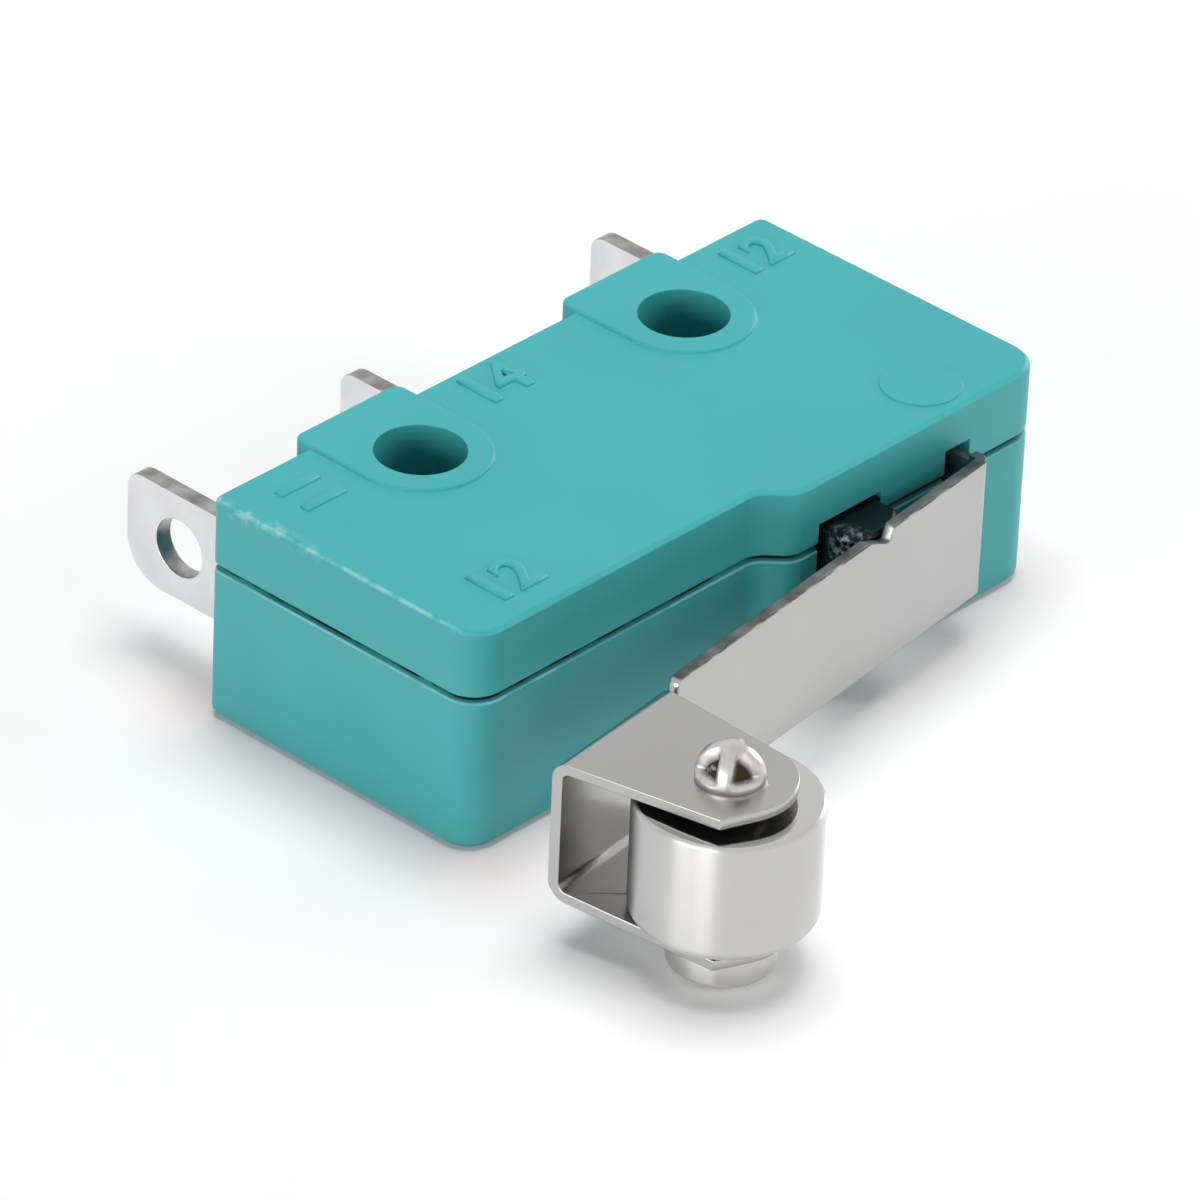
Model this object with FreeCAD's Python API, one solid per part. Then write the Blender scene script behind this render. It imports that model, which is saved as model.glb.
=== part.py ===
import FreeCAD, Part
import math
import os

# A subminiature snap switch with a hinged roller lever, lying on its flat base.
# X runs along the body towards the lever's hinge, Y towards the terminals, Z is up.
# The origin is midway between the two mounting holes, on the bottom face.
# All sizes are in millimetres, and the lever is drawn in its free position.

# Shell heights and walls
floor_thickness = 1.15
cavity_height = 4.1
cover_plate = 1.05
base_height = 4.35
wall = 1.0

# Shell outline
body_length = 19.8
back_reach = 2.1
step_height = 0.76
step_wall = 0.55
step_run = 0.7
step_radius = 0.7
front_left_radius = 0.9
front_right_radius = 1.0
back_radius = 0.3
bottom_edge = 0.2
top_edge = 0.12
parting_edge = 0.12
mark_radius = 1.05
mark_inset = 1.33
mark_rise = 0.06

# Mounting holes, with the pads that stand round them
hole_spacing = 9.5
hole_radius = 1.175
pad_radius = 1.85
pad_step = 0.5
pad_rise = 0.1
spigot_wall = 0.34
spigot_height = 0.5
spigot_fit = 0.03

# Terminals
terminal_thickness = 0.5
terminal_width = 3.0
terminal_drop = 0.05
terminal_reach = 4.18
middle_terminal_short = 0.3
middle_terminal_x = -1.15
terminal_wall_gap = 0.3
terminal_fit = 0.03
terminal_bend = 0.3
tip_low_radius = 1.2
tip_high_radius = 0.45
wire_hole_radius = 0.8
wire_hole_setback = 1.83
rest_width = 0.9
rest_length = 2.4

# Contacts, stacked from the posts out to the front wall
post_gap = 0.45
fixed_contact_height = 0.35
moving_contact_height = 0.38
contact_gap = 0.98
contact_rest_gap = 0.03
blade_wall_gap = 0.15
contact_radius = 0.8
contact_shank_radius = 0.4
contact_dome = 0.08
contact_inset = 3.5
blade_overrun = 0.9

# Contact arm, its spring and the bracket that holds the spring
arm_thickness = 0.18
arm_root_width = 2.6
arm_tip_width = 2.0
arm_overrun = 0.9
arm_window_width = 1.5
arm_window_start = 0.95
arm_window_clear = 2.55
arm_window_radius = 0.25
arm_tip_radius = 0.5
arm_blend_radius = 2.6
knife_edge = 0.2
knife_gap = 0.04
notch_depth = 0.12
hook_hole_radius = 0.27
hook_hole_pitch = 0.5
bracket_thickness = 0.3
bracket_width = 1.1
bracket_foot = 1.8
bracket_offset = 0.76
bracket_out = 1.35
bracket_tongue = 1.45
bracket_bend = 0.15
bracket_rivet_radius = 0.4
bracket_rivet_head = 0.7
bracket_rivet_rise = 0.18
bracket_rivet_dome = 0.12
spring_radius = 0.4
spring_wire = 0.09
spring_turns = 7
spring_loop_radius = 0.3
spring_loop_gap = 60
spring_lead = 0.12
turn_facets = 10
wire_facets = 6

# Plunger
plunger_from_hinge = 3.98
plunger_width = 2.0
plunger_depth = 3.4
plunger_side_gap = 0.13
plunger_end_gap = 0.1
plunger_dome = 1.3
plunger_lever_gap = 0.02
plunger_arm_gap = 0.03
plunger_edge = 0.12
flange_overhang = 0.6
flange_thickness = 0.7
flange_wall_gap = 0.03
flange_side_gap = 0.17
foot_width = 1.4
nose_radius = 0.8

# Lever, folded from one strip of sheet
lever_sheet = 0.3
lever_width = 3.9
lever_angle = 7.0
lever_bend = 0.05
lever_stand_off = 0.84
hinge_inset = 3.25
hinge_depth = 0.88
arm_length = 13.1
arm_corner = 0.3
tab_width = 3.6
tab_gap = 0.13
tab_swing_room = 0.3
head_overhang = 0.3
head_length = 0.5
head_gap = 0.05
pocket_room = 0.1
pocket_wall = 0.3
notch_start = 4.05
notch_length = 1.1
notch_wall = 0.15
edge_notch_depth = 0.35
relief_margin = 0.05
ear_bend = 0.2
channel_drop = 0.2
channel_gap = 0.35

# Roller and its rivet
roller_stand_off = 3.65
roller_radius = 2.33
roller_side_gap = 0.1
roller_edge = 0.35
pin_radius = 0.75
pin_fit = 0.05
ear_round = 1.65
ear_front = 1.95
ear_rear = 2.4
roller_reach = arm_length + channel_gap + ear_rear
ear_tip_beyond = 0.29
ear_tip_bearing = 28.7
stake_radius = 0.95
stake_height = 0.9
stake_dome = 0.72
stake_dent = 0.4
stake_dent_pitch = 0.56
rivet_head_radius = 1.42
rivet_head_height = 1.0
rivet_head_edge = 0.35

# Heights worked out from the walls
ceiling = floor_thickness + cavity_height
body_height = ceiling + cover_plate
mid_z = floor_thickness + cavity_height / 2
terminal_mid = mid_z - terminal_drop
terminal_low = terminal_mid - terminal_width / 2
terminal_high = terminal_mid + terminal_width / 2
head_width = tab_width + 2 * head_overhang
slot_height = tab_width + 2 * tab_gap
slot_width = lever_sheet + 2 * tab_swing_room

# Distances in front of the hole line, worked out as one stack
open_blade_back = -(pad_radius + post_gap)
open_blade_front = open_blade_back - terminal_thickness
open_face = open_blade_front - fixed_contact_height
arm_back = open_face - contact_gap - moving_contact_height
arm_front = arm_back - arm_thickness
arm_mid = (arm_back + arm_front) / 2
closed_face = arm_front - moving_contact_height - contact_rest_gap
closed_blade_back = closed_face - fixed_contact_height
closed_blade_front = closed_blade_back - terminal_thickness
hinge_wall_face = closed_blade_front - blade_wall_gap
hinge_wall = hinge_depth + head_length / 2 + pocket_room + pocket_wall
front_high = hinge_wall_face - hinge_wall
front_low = front_high + step_height

# Places along the body
body_left = -body_length / 2
body_right = body_length / 2
cavity_left = body_left + wall
cavity_right = body_right - wall
cavity_back = back_reach - wall
common_x = cavity_left + terminal_wall_gap + terminal_thickness / 2
closed_x = cavity_right - terminal_wall_gap - terminal_thickness / 2
hinge_x = body_right - hinge_inset
hinge_y = front_high + hinge_depth
plunger_x = hinge_x - plunger_from_hinge
contact_x = body_right - contact_inset
pivot_x = common_x + terminal_thickness / 2 - notch_depth + knife_gap
arm_window_end = plunger_x - pivot_x - arm_window_clear
bay_half = plunger_width / 2 + flange_overhang + flange_side_gap
step_x = plunger_x - bay_half - step_wall
pad_reach = back_reach + pad_step
tip_y = back_reach + terminal_reach
hole_xs = (-hole_spacing / 2, hole_spacing / 2)
far = 4 * body_length
level_slack = 1e-4


def point(x, y, z=0.0):
    return FreeCAD.Vector(x, y, z)


def loop(corners):
    """Closed outline through corners of x, y and an optional rounding radius."""
    ends = []
    count = len(corners)
    for index in range(count):
        here = point(*corners[index][:2])
        radius = corners[index][2] if len(corners[index]) > 2 else 0.0
        back = (point(*corners[index - 1][:2]) - here).normalize()
        ahead = (point(*corners[(index + 1) % count][:2]) - here).normalize()
        if radius <= 0.0:
            ends.append((here, None, here))
            continue
        half = back.getAngle(ahead) / 2
        inward = (back + ahead).normalize()
        reach = radius / math.tan(half)
        crest = here + inward * (radius / math.sin(half) - radius)
        ends.append((here + back * reach, crest, here + ahead * reach))
    edges = []
    for index in range(count):
        start, crest, stop = ends[index]
        if crest is not None:
            edges.append(Part.Arc(start, crest, stop).toShape())
        following = ends[(index + 1) % count][0]
        if stop.distanceToPoint(following) > 1e-6:
            edges.append(Part.LineSegment(stop, following).toShape())
    return Part.Wire(edges)


def prism(corners, low, high):
    """Outline drawn on the XY plane, raised from low to high."""
    face = Part.Face(loop(corners))
    face.translate(point(0, 0, low))
    return face.extrude(point(0, 0, high - low))


def block(x_low, x_high, y_low, y_high, z_low, z_high):
    size = (x_high - x_low, y_high - y_low, z_high - z_low)
    return Part.makeBox(*size, point(x_low, y_low, z_low))


def strip(path, thickness, bend, low, high):
    """Sheet that follows a path on the XY plane, with its bends rounded."""
    points = [point(*spot) for spot in path]
    runs = [(b - a).normalize() for a, b in zip(points, points[1:])]
    normals = [point(-run.y, run.x) for run in runs]
    sides = []
    for side in (1, -1):
        row = [(points[0] + normals[0] * (side * thickness / 2), 0.0)]
        for index in range(1, len(runs)):
            before = normals[index - 1]
            after = normals[index]
            mitre = (before + after) * (1 / (1 + before.dot(after)))
            turn = runs[index - 1].cross(runs[index]).z
            radius = bend if turn * side > 0 else bend + thickness
            row.append((points[index] + mitre * (side * thickness / 2), radius))
        row.append((points[-1] + normals[-1] * (side * thickness / 2), 0.0))
        sides.append(row)
    ring = sides[1] + sides[0][::-1]
    return prism([(spot.x, spot.y, radius) for spot, radius in ring], low, high)


def lay(shape, matrix):
    """Puts a drawn shape into its place."""
    shape.Placement = FreeCAD.Placement(matrix).multiply(shape.Placement)
    return shape


def on_side(corners, x_low, x_high):
    """Outline drawn as Y and Z, carried along X."""
    turned = FreeCAD.Matrix(0, 0, 1, 0, 1, 0, 0, 0, 0, 1, 0, 0, 0, 0, 0, 1)
    return lay(prism(corners, x_low, x_high), turned)


def on_front(corners, y_low, y_high):
    """Outline drawn as Z and X, carried along Y."""
    turned = FreeCAD.Matrix(0, 1, 0, 0, 0, 0, 1, 0, 1, 0, 0, 0, 0, 0, 0, 1)
    return lay(prism(corners, y_low, y_high), turned)


def across(radius, start, along, length):
    """Round bar from a start point along a direction."""
    return Part.makeCylinder(radius, length, start, along)


def turned(profile):
    """Round piece about Z, from a profile of radius and height that starts and ends on the axis."""
    spots = [point(radius, 0, height) for radius, height in profile]
    face = Part.Face(Part.makePolygon(spots + spots[:1]))
    return face.revolve(point(0, 0), point(0, 0, 1), 360)


def eased(radius, height, ease):
    """Profile corners where a flat top of this radius and height is rounded off in two steps."""
    step = ease * (1 - math.sqrt(0.5))
    return [(radius, height - ease), (radius - step, height - step), (radius - ease, height)]


def domed_head(radius, height, dome):
    """Contact head standing on the XY plane, its face eased down towards the rim."""
    return turned([(0, 0), (radius, 0), (radius, height - dome), (radius / 2, height), (0, height)])


# Shell outline and the hollow that both shells share
def body_outline():
    return [
        (body_left, front_low, front_left_radius),
        (step_x - step_run / 2, front_low, step_radius),
        (step_x + step_run / 2, front_high, step_radius),
        (body_right, front_high, front_right_radius),
        (body_right, back_reach, back_radius),
        (body_left, back_reach, back_radius),
    ]


def pad_outline(hole_x):
    left = hole_x - pad_radius
    right = hole_x + pad_radius
    return [
        (left, -pad_radius, pad_radius),
        (right, -pad_radius, pad_radius),
        (right, pad_reach, back_radius),
        (left, pad_reach, back_radius),
    ]


def outer_block(low, high):
    solid = prism(body_outline(), low, high)
    for hole_x in hole_xs:
        solid = solid.fuse(prism(pad_outline(hole_x), low, high))
    return solid.removeSplitter()


def cavity(low, high):
    front = front_low + wall
    hollow = block(cavity_left, cavity_right, front, cavity_back, low, high)
    bay_right = plunger_x + bay_half
    plunger_bay = block(plunger_x - bay_half, bay_right, front_high + wall, front, low, high)
    blade_bay = block(bay_right, cavity_right, hinge_wall_face, front, low, high)
    hollow = hollow.fuse([plunger_bay, blade_bay])
    for hole_x in hole_xs:
        hollow = hollow.cut(prism(pad_outline(hole_x), low, high))
    return hollow.removeSplitter()


def openings():
    """Cuts for the plunger, the lever's tab and the terminals, through both shells."""
    half = plunger_width / 2 + plunger_side_gap
    depth = plunger_depth / 2 + plunger_end_gap
    outside = front_high - wall
    cuts = [
        block(plunger_x - half, plunger_x + half, outside, front_low + wall, mid_z - depth, mid_z + depth),
        block(
            hinge_x - slot_width / 2, hinge_x + slot_width / 2,
            outside, hinge_y, mid_z - slot_height / 2, mid_z + slot_height / 2,
        ),
    ]
    pocket = head_width / 2 + head_gap
    reach = head_length / 2 + pocket_room
    cuts.append(
        block(
            hinge_x - slot_width / 2, hinge_x + slot_width / 2,
            hinge_y - reach, hinge_y + reach, mid_z - pocket, mid_z + pocket,
        )
    )
    side = terminal_thickness / 2 + terminal_fit
    for terminal_x in (common_x, middle_terminal_x, closed_x):
        cuts.append(
            block(
                terminal_x - side, terminal_x + side, cavity_back - wall, back_reach + wall,
                terminal_low - terminal_fit, terminal_high + terminal_fit,
            )
        )
    return cuts


def terminal_rests(low, high):
    """Ribs that hold the terminals down from one shell and up from the other."""
    blade_mid = (open_blade_back + open_blade_front) / 2
    across_strip = rest_width / 2
    along_strip = rest_length / 2
    spots = [
        (common_x, blade_mid, across_strip, along_strip),
        (closed_x, blade_mid, across_strip, along_strip),
        (hole_spacing / 2, blade_mid, along_strip, across_strip),
    ]
    return [block(x - dx, x + dx, y - dy, y + dy, low, high) for x, y, dx, dy in spots]


def edges_at(solid, height, lowest_y=-far, highest_y=far):
    """Outer edges that lie flat at one height."""
    found = []
    for edge in solid.Edges:
        box = edge.BoundBox
        flat = abs(box.ZMin - height) < level_slack and abs(box.ZMax - height) < level_slack
        if flat and lowest_y < box.YMin and box.YMax < highest_y:
            found.append(edge)
    return found


def base_case():
    solid = outer_block(0, base_height)
    solid = solid.makeChamfer(bottom_edge, edges_at(solid, 0))
    solid = solid.makeChamfer(parting_edge, edges_at(solid, base_height))
    solid = solid.cut(cavity(floor_thickness, base_height + wall))
    solid = solid.fuse(terminal_rests(floor_thickness, terminal_low - terminal_fit))
    for hole_x in hole_xs:
        spigot = across(hole_radius + spigot_wall, point(hole_x, 0, floor_thickness), point(0, 0, 1),
                        base_height - floor_thickness + spigot_height)
        solid = solid.fuse(spigot)
    solid = solid.cut(openings())
    for hole_x in hole_xs:
        solid = solid.cut(across(hole_radius, point(hole_x, 0, -wall), point(0, 0, 1), far))
    return solid.removeSplitter()


def top_cover():
    solid = outer_block(base_height, body_height)
    solid = solid.makeChamfer(top_edge, edges_at(solid, body_height))
    solid = solid.makeChamfer(parting_edge, edges_at(solid, base_height))
    for hole_x in hole_xs:
        pad = prism(pad_outline(hole_x), base_height + wall, body_height + pad_rise)
        pad = pad.makeChamfer(pad_rise / 2, edges_at(pad, body_height + pad_rise))
        solid = solid.fuse(pad)
    mark = across(mark_radius, point(hinge_x, front_high + mark_inset, ceiling), point(0, 0, 1),
                  cover_plate + mark_rise)
    solid = solid.fuse(mark)
    solid = solid.cut(cavity(base_height - wall, ceiling))
    solid = solid.fuse(terminal_rests(terminal_high + terminal_fit, ceiling))
    solid = solid.cut(openings())
    for hole_x in hole_xs:
        recess = hole_radius + spigot_wall + spigot_fit
        start = point(hole_x, 0, base_height - wall)
        solid = solid.cut(across(recess, start, point(0, 0, 1), wall + spigot_height + spigot_fit))
        solid = solid.cut(across(hole_radius, start, point(0, 0, 1), far))
    return solid.removeSplitter()


# Terminals and the contacts riveted to them
def terminal(path, reach):
    blade = strip(path, terminal_thickness, terminal_bend, terminal_low, terminal_high)
    side = [
        (-far, terminal_low),
        (reach, terminal_low, tip_low_radius),
        (reach, terminal_high, tip_high_radius),
        (-far, terminal_high),
    ]
    blade = blade.common(on_side(side, -far, far))
    hole = across(wire_hole_radius, point(path[0][0] - wall, reach - wire_hole_setback, terminal_mid),
                  point(1, 0, 0), 2 * wall)
    return blade.cut(hole)


def contact_hole(front):
    return across(contact_shank_radius, point(contact_x, front - wall, mid_z), point(0, 1, 0),
                  terminal_thickness + 2 * wall)


def common_terminal():
    inner_end = arm_front - terminal_thickness
    solid = terminal([(common_x, tip_y), (common_x, inner_end)], tip_y)
    face = common_x + terminal_thickness / 2
    notch = [
        (face + knife_edge, arm_mid - notch_depth - knife_edge),
        (face + knife_edge, arm_mid + notch_depth + knife_edge),
        (face - notch_depth, arm_mid),
    ]
    solid = solid.cut(prism(notch, 0, body_height))
    return solid.cut(across(bracket_rivet_radius, point(common_x - wall, rivet_y(), mid_z),
                            point(1, 0, 0), 2 * wall))


def normally_open_terminal():
    reach = tip_y - middle_terminal_short
    blade_mid = (open_blade_back + open_blade_front) / 2
    blade_end = contact_x + blade_overrun
    path = [(middle_terminal_x, reach), (middle_terminal_x, blade_mid), (blade_end, blade_mid)]
    return terminal(path, reach).cut(contact_hole(open_blade_front))


def normally_closed_terminal():
    blade_mid = (closed_blade_back + closed_blade_front) / 2
    path = [(closed_x, tip_y), (closed_x, blade_mid), (contact_x - blade_overrun, blade_mid)]
    return terminal(path, tip_y).cut(contact_hole(closed_blade_front))


def contact(height, shank):
    """Contact rivet, its head up from the XY plane and its shank below."""
    head = domed_head(contact_radius, height, contact_dome)
    return head.fuse(across(contact_shank_radius, point(0, 0, -shank), point(0, 0, 1), shank + height / 2))


def towards(shape, x, y, z, direction):
    turn = FreeCAD.Rotation(point(0, 0, 1), direction)
    shape.Placement = FreeCAD.Placement(point(x, y, z), turn)
    return shape


def normally_open_contact():
    rivet = contact(fixed_contact_height, terminal_thickness)
    return towards(rivet, contact_x, open_blade_front, mid_z, point(0, -1, 0))


def normally_closed_contact():
    rivet = contact(fixed_contact_height, terminal_thickness)
    return towards(rivet, contact_x, closed_blade_back, mid_z, point(0, 1, 0))


# Contact arm with its contact, the bracket and the tension spring
def contact_arm():
    root = arm_root_width / 2
    tip = arm_tip_width / 2
    end = contact_x + arm_overrun
    side = [
        (mid_z - root, pivot_x),
        (mid_z + root, pivot_x),
        (mid_z + root, plunger_x, arm_blend_radius),
        (mid_z + tip, contact_x, arm_blend_radius),
        (mid_z + tip, end, arm_tip_radius),
        (mid_z - tip, end, arm_tip_radius),
        (mid_z - tip, contact_x, arm_blend_radius),
        (mid_z - root, plunger_x, arm_blend_radius),
    ]
    solid = on_front(side, arm_front, arm_back)
    knife = [
        (pivot_x, arm_mid),
        (pivot_x + knife_edge, arm_front),
        (far, arm_front),
        (far, arm_back),
        (pivot_x + knife_edge, arm_back),
    ]
    solid = solid.common(prism(knife, 0, body_height))
    half = arm_window_width / 2
    window = [
        (mid_z - half, pivot_x + arm_window_start, arm_window_radius),
        (mid_z + half, pivot_x + arm_window_start, arm_window_radius),
        (mid_z + half, pivot_x + arm_window_end, arm_window_radius),
        (mid_z - half, pivot_x + arm_window_end, arm_window_radius),
    ]
    solid = solid.cut(on_front(window, arm_front - wall, arm_back + wall))
    solid = solid.cut(across(hook_hole_radius, point(arm_hook_x(), arm_front - wall, mid_z),
                             point(0, 1, 0), 2 * wall + arm_thickness))
    return solid.cut(contact_hole(arm_front))


def moving_contact():
    halves = []
    for y, side in ((arm_front, -1), (arm_back, 1)):
        half = contact(moving_contact_height, arm_thickness / 2)
        halves.append(towards(half, contact_x, y, mid_z, point(0, side, 0)))
    return halves[0].fuse(halves[1]).removeSplitter()


def arm_hook_x():
    return pivot_x + arm_window_end + hook_hole_pitch


def bracket_mid():
    return common_x + terminal_thickness / 2 + bracket_thickness / 2


def tongue_x():
    return bracket_mid() + bracket_out


def tongue_end():
    return arm_back + bracket_offset - bracket_thickness / 2 - bracket_tongue


def tongue_hook_y():
    return tongue_end() + hook_hole_pitch


def rivet_y():
    return arm_back + bracket_offset + bracket_foot / 2 + bracket_thickness


def spring_bracket():
    elbow = arm_back + bracket_offset
    path = [
        (bracket_mid(), elbow + bracket_foot + bracket_thickness),
        (bracket_mid(), elbow),
        (tongue_x(), elbow),
        (tongue_x(), tongue_end()),
    ]
    half = bracket_width / 2
    solid = strip(path, bracket_thickness, bracket_bend, mid_z - half, mid_z + half)
    start = point(tongue_x() - wall, tongue_hook_y(), mid_z)
    solid = solid.cut(across(hook_hole_radius, start, point(1, 0, 0), 2 * wall))
    start = point(bracket_mid() - wall / 2, rivet_y(), mid_z)
    return solid.cut(across(bracket_rivet_radius, start, point(1, 0, 0), wall))


def bracket_rivet():
    grip = terminal_thickness + bracket_thickness
    start = common_x - terminal_thickness / 2
    shank = across(bracket_rivet_radius, point(start, rivet_y(), mid_z), point(1, 0, 0), grip)
    for x, side in ((start, -1), (start + grip, 1)):
        head = domed_head(bracket_rivet_head, bracket_rivet_rise, bracket_rivet_dome)
        shank = shank.fuse(towards(head, x, rivet_y(), mid_z, point(side, 0, 0)))
    return shank.removeSplitter()


def half_spring(span):
    """Wire's path up Z, from the open end of one eye out to the coil's middle."""
    spots = []
    for index in range(turn_facets):
        angle = math.radians((spring_loop_gap - 360) * (1 - index / (turn_facets - 1)))
        spots.append(point(0, spring_loop_radius * math.sin(angle), spring_loop_radius * math.cos(angle)))
    for share in (0.45, 0.85):
        angle = math.radians(90 * (1 + share / 2))
        spots.append(point(share * spring_radius * math.cos(angle), share * spring_radius * math.sin(angle),
                           spring_loop_radius + share * spring_lead / 2))
    start = spring_loop_radius + spring_lead
    half_coil = 90 * (2 * spring_turns + 1)
    count = math.ceil(half_coil * turn_facets / 360)
    step = half_coil / (count - 0.5)
    for index in range(count):
        angle = math.radians(180 + index * step)
        height = start + (span / 2 - start) * index / (count - 0.5)
        spots.append(point(spring_radius * math.cos(angle), spring_radius * math.sin(angle), height))
    return spots


def wire_along(spots):
    """Drawn wire of many-sided section that follows a path, mitred at every corner."""
    runs = [(b - a).normalize() for a, b in zip(spots, spots[1:])]
    headings = [runs[0]] + [(a + b).normalize() for a, b in zip(runs, runs[1:])] + [runs[-1]]
    sideways = point(1, 0, 0)
    rings = []
    for spot, heading in zip(spots, headings):
        sideways = (sideways - heading * sideways.dot(heading)).normalize()
        upward = heading.cross(sideways)
        ring = []
        for index in range(wire_facets + 1):
            angle = 2 * math.pi * index / wire_facets
            ring.append(spot + (sideways * math.cos(angle) + upward * math.sin(angle)) * spring_wire)
        rings.append(Part.makePolygon(ring))
    return Part.makeLoft(rings, True, True)


def tension_spring():
    """Open coil drawn on Z, then laid from the bracket's hook to the arm's hook."""
    hooked_edge = (hook_hole_pitch - hook_hole_radius) / 2
    start = point(tongue_x(), tongue_end() + hooked_edge, mid_z)
    stop = point(pivot_x + arm_window_end + hooked_edge, arm_mid, mid_z)
    span = start.distanceToPoint(stop)
    near = half_spring(span)
    over = [point(-spot.x, spot.y, span - spot.z) for spot in near[::-1]]
    coil = wire_along(near + over)
    turn = FreeCAD.Rotation(point(0, 0, 1), stop - start)
    coil.Placement = FreeCAD.Placement(start, turn)
    return coil


# Plunger, a moulded block with a flange that stops it inside the wall
def plunger():
    low = mid_z - plunger_depth / 2
    high = mid_z + plunger_depth / 2
    slope = math.radians(lever_angle)
    face_y = lever_knee_y() - (hinge_x - plunger_x) * math.tan(slope) + lever_sheet / 2 / math.cos(slope)
    dome_y = face_y + (plunger_dome + plunger_lever_gap) / math.cos(slope)
    flange_front = front_high + wall + flange_wall_gap
    flange_back = flange_front + flange_thickness
    half = plunger_width / 2
    stem = block(plunger_x - half, plunger_x + half, dome_y - plunger_dome, flange_back, low, high)
    crown = across(plunger_dome, point(plunger_x, dome_y, low), point(0, 0, 1), plunger_depth)
    crown = crown.fuse(block(plunger_x - half, plunger_x + half, dome_y, flange_back, low, high))
    stem = stem.common(crown)
    for height in (low, high):
        stem = stem.makeChamfer(plunger_edge, edges_at(stem, height, -far, flange_back - plunger_edge))
    reach = half + flange_overhang
    rise = cavity_height / 2 - plunger_end_gap
    flange = block(
        plunger_x - reach, plunger_x + reach, flange_front, flange_back, mid_z - rise, mid_z + rise,
    )
    nose_y = arm_front - plunger_arm_gap - nose_radius
    foot = foot_width / 2
    leg = block(plunger_x - foot, plunger_x + foot, flange_front, nose_y + nose_radius, low, high)
    nose = across(nose_radius, point(plunger_x, nose_y, low), point(0, 0, 1), plunger_depth)
    nose = nose.fuse(block(plunger_x - foot, plunger_x + foot, flange_front, nose_y, low, high))
    return stem.fuse([flange, leg.common(nose)]).removeSplitter()


# Lever, drawn along its own length and then turned to its free angle
def lever_knee_y():
    return front_high - lever_stand_off


def from_lever(shape):
    """Places a shape drawn from the knee, with X along the arm and Y outwards."""
    turn = FreeCAD.Rotation(point(0, 0, 1), 180 + lever_angle)
    knee = FreeCAD.Placement(point(hinge_x, lever_knee_y()), turn)
    shape.Placement = knee.multiply(shape.Placement)
    return shape


def touch_point(radius, x, y, side):
    """Where the line from a point just touches a circle round the origin."""
    bearing = math.atan2(y, x) + side * math.acos(radius / math.hypot(x, y))
    return radius * math.cos(bearing), radius * math.sin(bearing)


def ear_outline():
    """One ear seen along the roller's axis, from the back of the web outwards."""
    back = -roller_stand_off - lever_sheet
    bearing = math.radians(ear_tip_bearing)
    tip_distance = ear_round + ear_tip_beyond
    tip = (tip_distance * math.cos(bearing), tip_distance * math.sin(bearing))
    front_touch = touch_point(ear_round, *tip, 1)
    rear_touch = touch_point(ear_round, -ear_rear, back, -1)
    corners = [point(ear_front, back), point(*tip), point(*front_touch)]
    edges = [Part.LineSegment(a, b).toShape() for a, b in zip(corners, corners[1:])]
    edges.append(Part.Arc(point(*front_touch), point(0, ear_round), point(*rear_touch)).toShape())
    rear = point(-ear_rear, back)
    edges.append(Part.LineSegment(point(*rear_touch), rear).toShape())
    edges.append(Part.LineSegment(rear, corners[0]).toShape())
    return Part.Wire(edges)


def ears():
    """Channel folded across the strip, trimmed to the ears' outline and bored."""
    half = lever_width / 2 - lever_sheet / 2
    reach = roller_stand_off + ear_round + ear_front
    dropped = -half - channel_drop
    path = [(reach, dropped), (0, dropped), (0, half), (reach, half)]
    channel = strip(path, lever_sheet, ear_bend, 0, 2 * (ear_front + ear_rear))
    turned = FreeCAD.Matrix(0, 0, 1, roller_reach - 2 * ear_rear, 1, 0, 0, 0, 0, 1, 0, mid_z, 0, 0, 0, 1)
    channel = lay(channel, turned)
    trim = Part.Face(ear_outline()).extrude(point(0, 0, body_height))
    trim.translate(point(roller_reach, roller_stand_off, 0))
    return channel.common(trim)


def pin_bore():
    return across(pin_radius, point(roller_reach, roller_stand_off, 0), point(0, 0, 1), body_height)


def edge_notch():
    high = mid_z + lever_width / 2
    corners = [
        (high + edge_notch_depth, notch_start - notch_wall),
        (high - edge_notch_depth, notch_start + notch_wall),
        (high - edge_notch_depth, notch_start + 2 * notch_wall),
        (high + edge_notch_depth, notch_start + 2 * notch_length - 2 * notch_wall),
    ]
    return on_front(corners, -wall, wall)


def arm_corners(solid, low, high):
    """Edges through the sheet where the arm's sides end at the relief notches."""
    found = []
    for edge in solid.Edges:
        box = edge.BoundBox
        at_end = max(abs(box.XMin - arm_length), abs(box.XMax - arm_length)) < level_slack
        at_side = max(abs(box.ZMin - low), abs(box.ZMax - low)) < level_slack
        at_side = at_side or max(abs(box.ZMin - high), abs(box.ZMax - high)) < level_slack
        if at_end and at_side:
            found.append(edge)
    return found


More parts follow.
